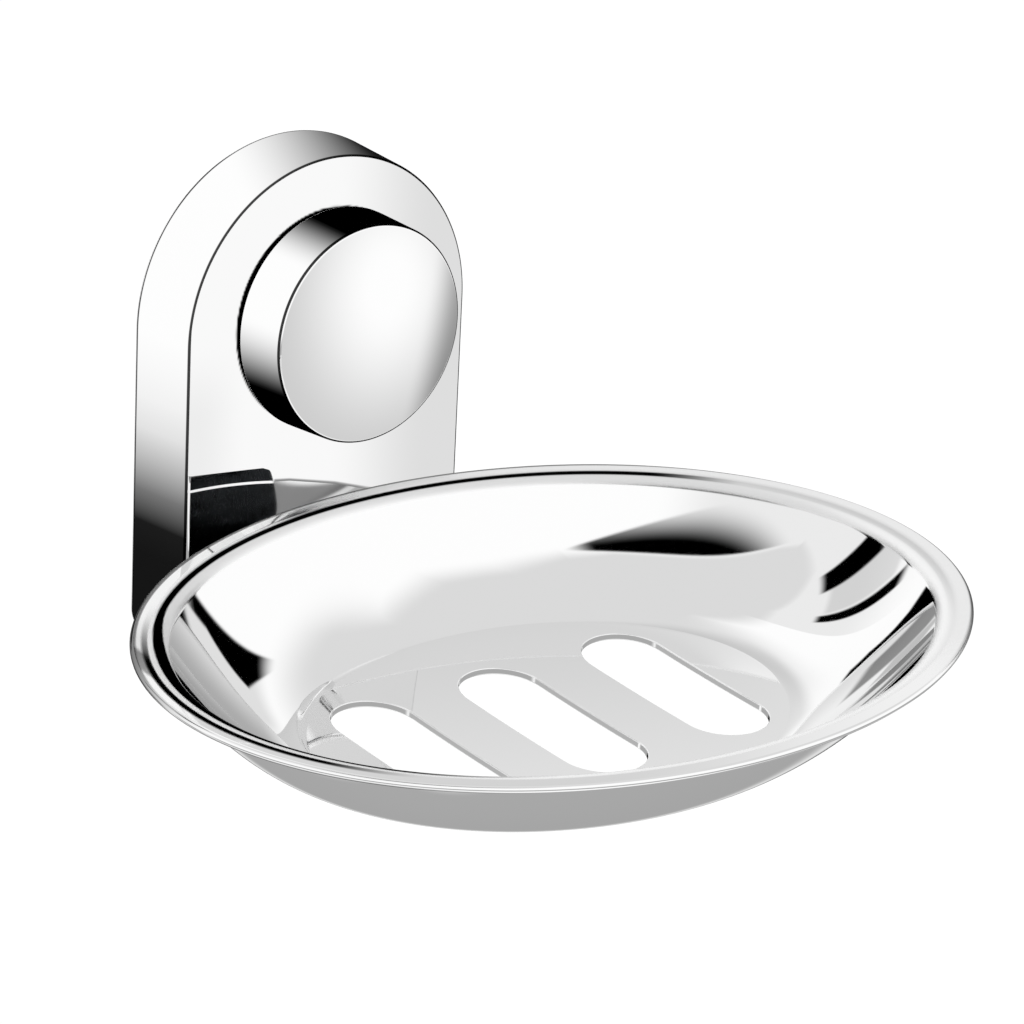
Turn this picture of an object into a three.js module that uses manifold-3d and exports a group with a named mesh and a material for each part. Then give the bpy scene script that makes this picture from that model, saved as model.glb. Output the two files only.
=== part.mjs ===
// Slotted oval soap dish on a suction wall holder, in millimetres.
// The origin lies on the wall, on the axis of the round knob. X runs along the wall, Y into
// the wall and Z up. Distances from the wall are positive numbers and become negative Y.

import * as THREE from 'three';
import { mergeVertices } from 'three/addons/utils/BufferGeometryUtils.js';
import Module from 'manifold-3d';

const wasm = await Module();
wasm.setup();

// Gaps and overruns
const fitGap = 0.3; // between pieces that rest on each other or fit in each other
const runningGap = 0.4; // between pieces that turn in each other
const overrun = 2; // how far a cutting body passes what it cuts
const trimSide = 200; // side of a block that cuts a whole face off
const weldTolerance = 0.001; // vertices closer than this are one

// Arched housing
const faceWidth = 57;
const archDrop = 1; // centre of the arch below the knob's axis
const footDrop = 56; // bottom edge below the knob's axis
const footCorner = 6;
const housingDepth = 14.4;
const housingWall = 2;
const rimGap = 0.6; // rear rim to the wall
const sideDraft = 1.1; // how much further out each side lies at the rear rim
const faceRound = 0.8;

// Suction cup
const cupRoom = 2; // between the cup's edge and the housing's wall
const cupLip = 3;
const cupEdge = 1.4;
const cupDish = 1.2; // depth of the hollow behind the cup
const cupWeb = 1.6; // thickness of the web at the boss
const bossRadius = 6.5;
const bossLength = 3.4;

// Draw stud and knob nut
const studRadius = 2.85;
const studReach = 20; // distance of the stud's tip from the wall
const studTip = 0.6; // chamfer of the tip
const flangeRadius = 4.7;
const flangeThickness = 1.2;
const knobNutFlats = 10;
const knobNutSink = 0.6; // how deep the nut sits in its pocket

// Back frame with its screws and wall bumpers
const frameFromWall = 2.6;
const frameThickness = 3.4;
const frameBore = 14;
const headBore = 2; // depth of the bores that take the screw heads
const tapRadius = 1.15;
const tapRoom = 2.7; // between a screw's tip and the housing face
const tapHeadRadius = 2.5;
const tapHeadHeight = 1.3;
const tapBossWall = 1.6;
const upperBossAcross = 14;
const upperBossRise = 13;
const lowerBossAcross = 20;
const bumperRadius = 4.5;
const bumperPocket = 1;
const bumperAcross = 9;
const lowerRise = 9; // lower screws and bumpers above the bottom edge

// Knob
const knobFaceRadius = 18.6;
const knobTaper = 0.5; // how much wider the cap is at its base
const knobStandOff = 0.7; // gap between the cap's skirt and the housing face
const knobHeight = 10.8; // from the housing face to the edge of the cap's face
const knobCrown = 0.8;
const knobEdgeRound = 0.7;
const capWall = 1.6;
const washerRadius = 13;
const washerThickness = 0.7;
const neckRadius = 6;
const neckTail = 2.4; // neck past the inside of the housing face
const coreDisc = 2.5;
const hubRadius = 9;
const hubRoom = 1.2; // between the hub and the inside of the cap
const pocketFloor = 1.1;
const ribThickness = 1.5;
const ribRoot = 2; // how far the ribs start inside the hub
const ribDrop = 1.4; // how far the ribs stay below the hub
const clipThickness = 0.8;
const clipWidth = 3.4;
const grooveDepth = 1;
const clipMouth = 7;

// Oval dish
const dishHalfLength = 74.6;
const dishHalfWidth = 53.3;
const dishDepth = 18.4; // from the lip to the edge of the floor
const floorSag = 0.8; // how much deeper the floor's middle lies than its edge
const floorHalfWidth = 30.5;
const dishSheet = 1.2;
const lipWidth = 2.4; // flat rim around the bowl
const lipRound = 3.5; // radius between the lip and the wall
const wallTopAngle = THREE.MathUtils.degToRad(60); // slope of the wall where the rounding starts
const dishRoom = 9.3; // between the rim and the housing face
const dishDrop = 31.5; // centre of the rim below the knob's axis
const dishTilt = THREE.MathUtils.degToRad(4.6); // the wall side sits higher, so water drains forward
const slotLength = 39.2;
const slotWidth = 14.7;
const slotSpacing = 26;

// Dish bracket with its screws and nuts
const bracketWidth = 24;
const bracketSheet = 2;
const bracketEdge = 6.5; // from the bolts to the top of the bracket's leg
const bracketBend = 2.5;
const cradleStart = 30; // from the dish's centre towards the wall, where the strip meets the bowl
const cradleEnd = 24.5;
const boltRadius = 1.9;
const boltEdge = 5; // from each bolt to the bracket's side
const boltRoom = 1.3; // between the nuts and the bracket's bend
const boltHeadRadius = 3.6;
const boltHeadHeight = 2.4;
const boltNutFlats = 7;
const boltNutHeight = 3;
const boltEnd = 1; // how far the bolt passes its nut

// Head, tip and driving recess of the screws
const headRoundShare = 0.5; // of the head's height
const tipShare = 0.5; // of the shaft's radius
const recessArmShare = 0.55; // of the head's radius
const recessWidthShare = 0.14;
const recessDepthShare = 0.5; // of the head's height

// Where the crown of the knob's cap is drawn, as shares of its radius
const crownShares = [0, 0.3, 0.6, 0.85];

// Counts
const roundSteps = 40;
const smallSteps = 16;
const tinySteps = 3;
const dishSteps = 72;
const floorSteps = 3;
const wallSteps = 8;
const lipSteps = 5;
const cradleSteps = 3;
const archSteps = 36;
const cornerSteps = 12;
const bendSteps = 6;
const hexSides = 6;
const knobRibs = 6;
const slotCount = 3;

// Places along the knob's axis, all measured from the wall
const faceFromWall = rimGap + housingDepth;
const insideFromWall = faceFromWall - housingWall;
const frameFront = frameFromWall + frameThickness;
const cupBossFront = cupDish + cupWeb + bossLength;
const coreShoulder = faceFromWall + fitGap + washerThickness + fitGap;
const capBase = faceFromWall + knobStandOff;
const capFace = faceFromWall + knobHeight;
const neckEnd = insideFromWall - neckTail;
const clipFront = insideFromWall - runningGap;
const clipBack = clipFront - clipThickness;
const hubFront = capFace - capWall - hubRoom;
const pocketBase = coreShoulder + pocketFloor;
const tapSeat = frameFromWall + headBore - fitGap; // front of the tapping screws' heads
const legMiddle = faceFromWall + fitGap + bracketSheet / 2;

// Sizes that follow from others
const studBore = studRadius + fitGap;
const boltBore = boltRadius + fitGap;
const circumShare = 1 / Math.cos(Math.PI / hexSides); // a hexagon's corner radius over its flat radius
const faceHalf = faceWidth / 2;
const cupRadius = faceHalf - housingWall - cupRoom;
const lowerDrop = footDrop - lowerRise;
const tapLength = insideFromWall - tapRoom - tapSeat;
const knobNutHeight = hubFront - knobNutSink - pocketBase - fitGap;
const dishFromFace = dishHalfWidth + dishRoom;
const knobBaseRadius = knobFaceRadius + knobTaper;
const coreRadius = knobFaceRadius - capWall - fitGap;
const lipStart = dishHalfWidth - lipWidth;
const wallTop = lipStart - lipRound * Math.sin(wallTopAngle);
const wallHeight = dishDepth - lipRound * (1 - Math.cos(wallTopAngle));
const wallPower = Math.tan(wallTopAngle) * (wallTop - floorHalfWidth) / wallHeight;
const boltAcross = bracketWidth / 2 - boltEdge;
const boltNutCorner = boltNutFlats / 2 * circumShare;

const chrome = finish(0xe4e7ea, 0.05, 1);
const steel = finish(0xc4c8cc, 0.25, 1);
const brass = finish(0xc8a250, 0.3, 1);
const greyPlastic = finish(0x6e7275, 0.55, 0);
const nylon = finish(0xf1eee4, 0.45, 0);
const softClear = finish(0xd4dcdf, 0.35, 0);
const softBlack = finish(0x26282a, 0.8, 0);

function finish(color, roughness, metalness) {
  return new THREE.MeshStandardMaterial({ color, roughness, metalness });
}

// Turns a closed geometry into a solid that can be joined and cut.
function solid(geometry) {
  const bare = geometry.clone();
  bare.deleteAttribute('normal');
  bare.deleteAttribute('uv');
  const merged = mergeVertices(bare, weldTolerance);
  const corners = merged.index.array;
  const kept = [];
  for (let i = 0; i < corners.length; i += 3) {
    const [a, b, c] = corners.slice(i, i + 3);
    if (a !== b && b !== c && c !== a) kept.push(a, b, c);
  }
  return new wasm.Manifold(new wasm.Mesh({
    numProp: 3,
    vertProperties: new Float32Array(merged.attributes.position.array),
    triVerts: new Uint32Array(kept),
  }));
}

function addPiece(parent, name, body, material) {
  const { vertProperties, triVerts } = body.getMesh();
  const geometry = new THREE.BufferGeometry();
  geometry.setAttribute('position', new THREE.BufferAttribute(vertProperties, 3));
  geometry.setIndex(new THREE.BufferAttribute(triVerts, 1));
  geometry.computeVertexNormals();
  const piece = new THREE.Mesh(geometry, material);
  piece.name = name;
  parent.add(piece);
  return piece;
}

// A body of revolution about the knob's axis. The outline holds pairs of radius and distance
// from the wall, and starts and ends on the axis or closes on itself.
function turned(outline, steps) {
  const points = outline.map(([radius, distance]) => new THREE.Vector2(radius, -distance));
  if (THREE.ShapeUtils.isClockWise(points)) points.reverse();
  const isRing = points[0].x > 0;
  if (isRing) points.push(points[0].clone());
  return new THREE.LatheGeometry(points, steps);
}

function rod(radius, from, to, steps = smallSteps) {
  return turned([[0, from], [radius, from], [radius, to], [0, to]], steps);
}

function hexagon(flats, from, to) {
  return rod(flats / 2 * circumShare, from, to, hexSides);
}

function block(width, height, from, to) {
  return new THREE.BoxGeometry(width, to - from, height).translate(0, -(from + to) / 2, 0);
}

function arc(centreX, centreY, radius, start, end, steps) {
  return Array.from({ length: steps + 1 }, (_, i) => {
    const angle = start + (end - start) * i / steps;
    return new THREE.Vector2(centreX + radius * Math.cos(angle), centreY + radius * Math.sin(angle));
  });
}

// The arched outline, inset from the housing's face outline.
function archOutline(inset) {
  const half = faceHalf - inset;
  const corner = footCorner - inset;
  const foot = -footDrop + inset + corner;
  return new THREE.Shape([
    ...arc(0, -archDrop, half, 0, Math.PI, archSteps),
    ...arc(-half + corner, foot, corner, Math.PI, 1.5 * Math.PI, cornerSteps),
    ...arc(half - corner, foot, corner, 1.5 * Math.PI, 2 * Math.PI, cornerSteps),
  ]);
}

// An arched body between two distances from the wall. It widens towards the wall with the
// housing's draft, and its face edge can be rounded.
function archBody(inset, from, to, round = 0) {
  const geometry = new THREE.ExtrudeGeometry(archOutline(inset), {
    depth: to - from - 2 * round,
    bevelEnabled: round > 0,
    bevelThickness: round,
    bevelSize: round,
    bevelOffset: -round,
    bevelSegments: tinySteps,
  });
  geometry.rotateX(Math.PI / 2).translate(0, -from - round, 0);
  const half = faceHalf - inset;
  const places = geometry.getAttribute('position');
  for (let i = 0; i < places.count; i += 1) {
    const depthShare = (faceFromWall + places.getY(i)) / housingDepth;
    const widening = 1 + sideDraft * depthShare / half;
    const rise = places.getZ(i) + archDrop;
    places.setX(i, places.getX(i) * widening);
    if (rise > 0) places.setZ(i, rise * widening - archDrop);
  }
  return geometry;
}

// Moves each point of a line sideways, to the left of the line where the distance is positive.
function beside(line, distance) {
  return line.map((point, i) => {
    const before = line[Math.max(i - 1, 0)];
    const after = line[Math.min(i + 1, line.length - 1)];
    const along = after.clone().sub(before).normalize();
    return new THREE.Vector2(-along.y, along.x).multiplyScalar(distance).add(point);
  });
}

// Thickens a line of points to a closed outline, with a round or a square end.
function thickened(line, thickness, endSteps = 0) {
  const half = thickness / 2;
  const left = beside(line, half);
  const right = beside(line, -half);
  const last = line.at(-1);
  const turn = left.at(-1).clone().sub(last).angle();
  const cap = arc(last.x, last.y, half, turn, turn - Math.PI, endSteps + 1).slice(1, -1);
  return [...left, ...cap, ...right.reverse()];
}

const soapDish = new THREE.Group();

// Places of the screws that hold the back frame
const frameScrewPlaces = [
  [-upperBossAcross, upperBossRise],
  [upperBossAcross, upperBossRise],
  [-lowerBossAcross, -lowerDrop],
  [lowerBossAcross, -lowerDrop],
];
const bumperPlaces = [[-bumperAcross, -lowerDrop], [bumperAcross, -lowerDrop]];

const dishGroup = new THREE.Group();
dishGroup.position.set(0, -(faceFromWall + dishFromFace), -dishDrop);
dishGroup.rotation.x = dishTilt;
soapDish.add(dishGroup);

// Middle of the bracket's strip where it lies under the floor, as Y and Z.
function cradleLine() {
  const below = (dishSheet + bracketSheet) / 2 + fitGap;
  const centre = new THREE.Vector2(dishGroup.position.y, dishGroup.position.z);
  const underFloor = beside(sheetLine(cradleStart, cradleEnd, cradleSteps), below);
  return underFloor.map((point) => point.rotateAround(new THREE.Vector2(), dishTilt).add(centre));
}

// The bolts sit just above the bracket's bend, and its leg ends above them.
const runLevel = cradleLine()[0].y;
const bendTop = runLevel + bracketBend;
const boltHeight = bendTop + boltRoom + boltNutCorner;
const legTop = boltHeight + bracketEdge;
const boltPlaces = [[-boltAcross, boltHeight], [boltAcross, boltHeight]];

function addHousing() {
  const tapBore = tapRadius + fitGap;
  const bossStart = frameFront + fitGap;
  const faceMiddle = (insideFromWall + faceFromWall) / 2;
  const shell = archBody(0, -overrun, faceFromWall, faceRound);
  const behindRim = block(trimSide, trimSide, -trimSide, rimGap);
  let body = solid(shell)
    .subtract(solid(behindRim))
    .subtract(solid(archBody(housingWall, -overrun, insideFromWall)));
  for (const [across, up] of frameScrewPlaces) {
    const boss = rod(tapBore + tapBossWall, bossStart, faceMiddle);
    body = body.add(solid(boss.translate(across, 0, up)));
  }
  for (const [across, up] of frameScrewPlaces) {
    const pilot = rod(tapBore, bossStart - overrun, insideFromWall - fitGap);
    body = body.subtract(solid(pilot.translate(across, 0, up)));
  }
  for (const [across, up] of boltPlaces) {
    const hole = rod(boltBore, insideFromWall - overrun, faceFromWall + overrun);
    body = body.subtract(solid(hole.translate(across, 0, up)));
  }
  const neckBore = neckRadius + runningGap;
  const neckHole = rod(neckBore, insideFromWall - overrun, faceFromWall + overrun, roundSteps);
  addPiece(soapDish, 'housing', body.subtract(solid(neckHole)), chrome);
}

function addBackFrame() {
  const tapBore = tapRadius + fitGap;
  let body = solid(archBody(housingWall + fitGap, frameFromWall, frameFront))
    .subtract(solid(rod(frameBore, frameFromWall - overrun, frameFront + overrun, roundSteps)));
  for (const [across, up] of frameScrewPlaces) {
    const hole = rod(tapBore, frameFromWall - overrun, frameFront + overrun);
    const headSeat = rod(tapHeadRadius + fitGap, frameFromWall - overrun, frameFromWall + headBore);
    body = body
      .subtract(solid(hole.translate(across, 0, up)))
      .subtract(solid(headSeat.translate(across, 0, up)));
  }
  for (const [across, up] of bumperPlaces) {
    const seat = rod(bumperRadius + fitGap, frameFromWall - overrun, frameFromWall + bumperPocket);
    body = body.subtract(solid(seat.translate(across, 0, up)));
  }
  addPiece(soapDish, 'back_frame', body, greyPlastic);
}

// A screw along the knob's axis with a pan head on the wall's side and a crossed recess.
function screw(shaftRadius, shaftLength, headRadius, headHeight) {
  const arm = headRadius * recessArmShare;
  const slit = headRadius * recessWidthShare;
  const recess = headHeight * recessDepthShare;
  const shoulder = headHeight * headRoundShare;
  const tip = shaftRadius * tipShare;
  const end = headHeight + shaftLength;
  const turnedBody = turned([
    [0, 0],
    [headRadius - shoulder, 0],
    [headRadius, shoulder],
    [headRadius, headHeight],
    [shaftRadius, headHeight],
    [shaftRadius, end - tip],
    [shaftRadius - tip, end],
    [0, end],
  ], smallSteps);
  return solid(turnedBody)
    .subtract(solid(block(2 * arm, 2 * slit, -overrun, recess)))
    .subtract(solid(block(2 * slit, 2 * arm, -overrun, recess)));
}

function addFrameScrews() {
  frameScrewPlaces.forEach(([across, up], i) => {
    const body = screw(tapRadius, tapLength, tapHeadRadius, tapHeadHeight);
    const piece = addPiece(soapDish, `frame_screw_${i + 1}`, body, steel);
    piece.position.set(across, -(tapSeat - tapHeadHeight), up);
  });
}

function addWallBumpers() {
  bumperPlaces.forEach(([across, up], i) => {
    const body = solid(rod(bumperRadius, 0, frameFromWall + bumperPocket - fitGap));
    const piece = addPiece(soapDish, `wall_bumper_${i + 1}`, body, softBlack);
    piece.position.set(across, 0, up);
  });
}

function addSuctionCup() {
  const pocketRadius = flangeRadius + fitGap;
  const pocketBack = cupDish + cupWeb;
  const pocketFront = pocketBack + fitGap + flangeThickness + fitGap;
  const edgeRound = cupEdge / 2;
  const outline = [
    [0, cupDish],
    [cupRadius - cupLip, 0],
    [cupRadius, 0],
    [cupRadius, edgeRound],
    [cupRadius - edgeRound, cupEdge],
    [frameBore, frameFromWall - fitGap],
    [bossRadius, pocketBack + fitGap],
    [bossRadius, cupBossFront],
    [studBore, cupBossFront],
    [studBore, pocketFront],
    [pocketRadius, pocketFront],
    [pocketRadius, pocketBack],
    [0, pocketBack],
  ];
  addPiece(soapDish, 'suction_cup', solid(turned(outline, roundSteps)), softClear);
}

function addDrawStud() {
  const flangeBack = cupDish + cupWeb + fitGap;
  const flangeFront = flangeBack + flangeThickness;
  const outline = [
    [0, flangeBack],
    [flangeRadius, flangeBack],
    [flangeRadius, flangeFront],
    [studRadius, flangeFront],
    [studRadius, studReach - studTip],
    [studRadius - studTip, studReach],
    [0, studReach],
  ];
  addPiece(soapDish, 'draw_stud', solid(turned(outline, smallSteps)), steel);
}

function addThrustWasher() {
  const back = faceFromWall + fitGap;
  const bore = neckRadius + runningGap;
  const outline = [
    [bore, back],
    [washerRadius, back],
    [washerRadius, back + washerThickness],
    [bore, back + washerThickness],
  ];
  addPiece(soapDish, 'thrust_washer', solid(turned(outline, roundSteps)), nylon);
}

function addKnobCore() {
  const discFront = coreShoulder + coreDisc;
  const grooveRadius = neckRadius - grooveDepth;
  const outline = [
    [studBore, neckEnd],
    [neckRadius, neckEnd],
    [neckRadius, clipBack - fitGap],
    [grooveRadius, clipBack - fitGap],
    [grooveRadius, clipFront + fitGap],
    [neckRadius, clipFront + fitGap],
    [neckRadius, coreShoulder],
    [coreRadius, coreShoulder],
    [coreRadius, discFront],
    [hubRadius, discFront],
    [hubRadius, hubFront],
    [studBore, hubFront],
  ];
  let body = solid(turned(outline, roundSteps));
  const discMiddle = (coreShoulder + discFront) / 2;
  const ribStart = hubRadius - ribRoot;
  const ribReach = coreRadius - fitGap - ribStart;
  for (let i = 0; i < knobRibs; i += 1) {
    const rib = block(ribReach, ribThickness, discMiddle, hubFront - ribDrop);
    rib.translate(ribStart + ribReach / 2, 0, 0).rotateY(2 * Math.PI * i / knobRibs);
    body = body.add(solid(rib));
  }
  const pocket = hexagon(knobNutFlats + 2 * fitGap, pocketBase, hubFront + overrun);
  addPiece(soapDish, 'knob_core', body.subtract(solid(pocket)), greyPlastic);
}

function addKnobNut() {
  const back = pocketBase + fitGap;
  const bore = rod(studBore, back - overrun, back + knobNutHeight + overrun);
  const body = solid(hexagon(knobNutFlats, back, back + knobNutHeight)).subtract(solid(bore));
  addPiece(soapDish, 'knob_nut', body, brass);
}

function addKnobClip() {
  const bore = neckRadius - grooveDepth + fitGap;
  const outline = [
    [bore, clipBack],
    [bore + clipWidth, clipBack],
    [bore + clipWidth, clipFront],
    [bore, clipFront],
  ];
  const reach = bore + clipWidth + overrun;
  const mouth = block(clipMouth, reach, clipBack - overrun, clipFront + overrun);
  const body = solid(turned(outline, roundSteps)).subtract(solid(mouth.translate(0, 0, -reach / 2)));
  addPiece(soapDish, 'knob_clip', body, steel);
}

// The cap's face is a shallow crown: its rise falls with the square of the radius.
function addKnobCap() {
  const skirtInside = knobFaceRadius - capWall;
  const crown = (reach, base) => crownShares.map((share) => {
    const radius = share * reach;
    return [radius, base + knobCrown * (1 - (radius / knobFaceRadius) ** 2)];
  });
  const flatRadius = knobFaceRadius - knobEdgeRound;
  const edge = arc(flatRadius, capFace - knobEdgeRound, knobEdgeRound, 0, Math.PI / 2, tinySteps);
  const outline = [
    ...crown(flatRadius, capFace),
    ...edge.reverse().map((point) => [point.x, point.y]),
    [knobBaseRadius, capBase],
    [knobBaseRadius - capWall, capBase],
    [skirtInside, capFace - capWall],
    ...crown(skirtInside, capFace - capWall).reverse(),
  ];
  addPiece(soapDish, 'knob_cap', solid(turned(outline, roundSteps)), chrome);
}

// Height of the sheet's upper face below the rim, at a radius along the dish's short axis. The
// floor sags like a shallow parabola, the wall steepens as a power of the way up, and an arc
// turns it over into the flat lip.
function sheetHeight(radius) {
  if (radius <= floorHalfWidth) return -dishDepth - floorSag * (1 - (radius / floorHalfWidth) ** 2);
  if (radius >= lipStart) return 0;
  if (radius >= wallTop) return Math.sqrt(lipRound ** 2 - (lipStart - radius) ** 2) - lipRound;
  const share = (radius - floorHalfWidth) / (wallTop - floorHalfWidth);
  return wallHeight * share ** wallPower - dishDepth;
}

// Middle of the sheet at a radius, as radius and height below the rim.
function sheetPoint(radius) {
  return new THREE.Vector2(radius, sheetHeight(radius) - dishSheet / 2);
}

// Evenly spaced points of the sheet between two radii, both included.
function sheetLine(from, to, steps) {
  return Array.from({ length: steps + 1 }, (_, i) => sheetPoint(from + (to - from) * i / steps));
}

function addDish(group) {
  const lipEnd = new THREE.Vector2(dishHalfWidth - dishSheet / 2, -dishSheet / 2);
  const floor = sheetLine(0, floorHalfWidth, floorSteps);
  const wall = sheetLine(floorHalfWidth, wallTop, wallSteps).slice(1);
  const rounding = sheetLine(wallTop, lipStart, lipSteps).slice(1);
  const outline = thickened([...floor, ...wall, ...rounding, lipEnd], dishSheet, tinySteps);
  outline[0].x = 0;
  outline.at(-1).x = 0;
  const bowl = turned(outline.map((point) => [point.x, -point.y]), dishSteps);
  bowl.rotateX(Math.PI / 2);
  const places = bowl.getAttribute('position');
  const lengthening = dishHalfLength - dishHalfWidth;
  for (let i = 0; i < places.count; i += 1) {
    const radius = Math.hypot(places.getX(i), places.getY(i));
    const reach = radius + lengthening * Math.min(radius / lipStart, 1);
    if (radius > 0) places.setX(i, places.getX(i) * reach / radius);
  }
  let body = solid(bowl);
  const slotHalf = slotWidth / 2;
  const slotStraight = slotLength / 2 - slotHalf;
  const slotShape = new THREE.Shape([
    ...arc(0, slotStraight, slotHalf, 0, Math.PI, cornerSteps),
    ...arc(0, -slotStraight, slotHalf, Math.PI, 2 * Math.PI, cornerSteps),
  ]);
  for (let i = 0; i < slotCount; i += 1) {
    const across = (i - (slotCount - 1) / 2) * slotSpacing;
    const cutter = new THREE.ExtrudeGeometry(slotShape, { depth: dishDepth, bevelEnabled: false });
    cutter.translate(across, 0, -dishDepth - floorSag - dishSheet - overrun);
    body = body.subtract(solid(cutter));
  }
  addPiece(group, 'dish', body, chrome);
}

function addBracket() {
  const cradle = cradleLine();
  const bend = arc(-legMiddle - bracketBend, bendTop, bracketBend, 0, -Math.PI / 2, bendSteps);
  const line = [new THREE.Vector2(-legMiddle, legTop), ...bend, ...cradle];
  const shape = new THREE.Shape(thickened(line, bracketSheet));
  const strip = new THREE.ExtrudeGeometry(shape, { depth: bracketWidth, bevelEnabled: false });
  const alongX = new THREE.Matrix4().makeBasis(
    new THREE.Vector3(0, 1, 0),
    new THREE.Vector3(0, 0, 1),
    new THREE.Vector3(1, 0, 0),
  );
  strip.applyMatrix4(alongX).translate(-bracketWidth / 2, 0, 0);
  let body = solid(strip);
  for (const [across, up] of boltPlaces) {
    const hole = rod(boltBore, faceFromWall - overrun, legMiddle + bracketSheet + overrun);
    body = body.subtract(solid(hole.translate(across, 0, up)));
  }
  addPiece(soapDish, 'dish_bracket', body, steel);
}

function addBracketBolts() {
  const headFront = insideFromWall - fitGap;
  const nutBack = legMiddle + bracketSheet / 2 + fitGap;
  const tip = nutBack + boltNutHeight + boltEnd;
  boltPlaces.forEach(([across, up], i) => {
    const bolt = screw(boltRadius, tip - headFront, boltHeadRadius, boltHeadHeight);
    const boltPiece = addPiece(soapDish, `bracket_screw_${i + 1}`, bolt, steel);
    boltPiece.position.set(across, -(headFront - boltHeadHeight), up);
    const bore = rod(boltBore, -overrun, boltNutHeight + overrun);
    const nut = solid(hexagon(boltNutFlats, 0, boltNutHeight)).subtract(solid(bore));
    const nutPiece = addPiece(soapDish, `bracket_nut_${i + 1}`, nut, steel);
    nutPiece.position.set(across, -nutBack, up);
  });
}

addHousing();
addBackFrame();
addFrameScrews();
addWallBumpers();
addSuctionCup();
addDrawStud();
addThrustWasher();
addKnobCore();
addKnobNut();
addKnobClip();
addKnobCap();
addDish(dishGroup);
addBracket();
addBracketBolts();

export default soapDish;
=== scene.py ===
# %% [markdown]
# # A slotted soap dish on a suction holder
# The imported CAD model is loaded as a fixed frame. Most of what shows is mirror chrome, and a
# mirror shows every facet of a coarse mesh, so the plated pieces are drawn again here as fine
# surfaces whose normals come from their formulas. So are the cup, the bracket, its nuts and
# the wall bumpers. The other pieces keep their CAD solids.

import math

import bpy
import numpy as np
from mathutils import Matrix, Vector
from mathutils.geometry import delaunay_2d_cdt


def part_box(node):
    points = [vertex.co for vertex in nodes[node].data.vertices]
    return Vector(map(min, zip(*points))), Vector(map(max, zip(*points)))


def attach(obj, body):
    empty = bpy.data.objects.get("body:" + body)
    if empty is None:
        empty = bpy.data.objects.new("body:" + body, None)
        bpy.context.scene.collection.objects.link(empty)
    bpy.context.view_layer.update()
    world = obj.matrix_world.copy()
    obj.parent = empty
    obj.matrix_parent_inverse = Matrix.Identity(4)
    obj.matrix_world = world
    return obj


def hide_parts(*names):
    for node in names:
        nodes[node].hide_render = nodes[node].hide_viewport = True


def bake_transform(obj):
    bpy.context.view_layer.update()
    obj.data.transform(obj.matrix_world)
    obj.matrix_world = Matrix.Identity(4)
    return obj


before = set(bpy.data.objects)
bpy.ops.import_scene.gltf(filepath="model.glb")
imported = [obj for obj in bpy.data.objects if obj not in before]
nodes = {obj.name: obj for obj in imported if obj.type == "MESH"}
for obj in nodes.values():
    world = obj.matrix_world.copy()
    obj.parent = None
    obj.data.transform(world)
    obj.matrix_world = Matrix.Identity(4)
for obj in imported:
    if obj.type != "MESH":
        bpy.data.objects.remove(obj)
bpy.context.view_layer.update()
MM = 0.001

# %% [markdown]
# ## From formulas to a mesh
# A piece is a handful of patches. Each patch is a grid of points with one normal per point, or
# a list of points with faces. Patches meet in rings that they share, so welding equal points
# closes the surface. Normals are then set one by one: a normal worked out from a formula stays
# true where a face is coarse, which is what keeps a reflection smooth.


# %% Patches and pieces
def grid_patch(points, normals, ring=True):
    """Faces between neighbouring rows and columns of a grid. A ring's last column meets its
    first."""
    rows, columns = points.shape[:2]
    index = np.arange(rows * columns).reshape(rows, columns)
    after = np.roll(index, -1, axis=1) if ring else index[:, 1:]
    before = index if ring else index[:, :-1]
    quads = np.stack([before[:-1], after[:-1], after[1:], before[1:]], axis=-1)
    return points.reshape(-1, 3), normals.reshape(-1, 3), quads.reshape(-1, 4)


def unit(vectors):
    """Each vector divided by its own length."""
    return vectors / np.maximum(np.linalg.norm(vectors, axis=-1, keepdims=True), 1e-12)


def weld(patches):
    """Joins patches: points that are equal to a millionth of a millimetre become one, with the
    mean of their normals. Each face is turned to the side that its corners' normals point to."""
    offsets = np.cumsum([0] + [len(p[0]) for p in patches])
    points = np.concatenate([p[0] for p in patches])
    normals = np.concatenate([p[1] for p in patches])
    keys, first, owner = np.unique(
        np.round(points * 1e6).astype(np.int64), axis=0, return_index=True, return_inverse=True
    )
    owner = owner.reshape(-1)
    points, mean = points[first], np.zeros((len(keys), 3))
    np.add.at(mean, owner, normals)
    mean, faces = unit(mean), {3: [], 4: []}
    for (_, _, patch_faces), offset in zip(patches, offsets):
        corners = owner[patch_faces + offset]
        whole = corners != np.roll(corners, -1, axis=1)
        for count in (3, 4):
            some = whole.sum(axis=1) == count
            faces[count].append(corners[some][whole[some]].reshape(-1, count))
    for count in (3, 4):
        group = np.concatenate(faces[count])
        a, b, c = (points[group[:, i]] for i in (0, 1, count - 1))
        across = np.cross(b - a, c - a)
        away = np.einsum("ij,ij->i", across, mean[group].sum(axis=1)) < 0
        faces[count] = np.where(away[:, None], group[:, ::-1], group)
    return points, mean, faces[3], faces[4]


def new_object(name, data):
    """An object that is part of the scene."""
    made = bpy.data.objects.new(name, data)
    bpy.context.scene.collection.objects.link(made)
    return made


def set_point_values(mesh, key, values):
    """One value per point of a mesh, which a material can read by its key."""
    attribute = mesh.attributes.new(key, "FLOAT", "POINT")
    attribute.data.foreach_set("value", values.ravel().astype(np.float32))


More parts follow.
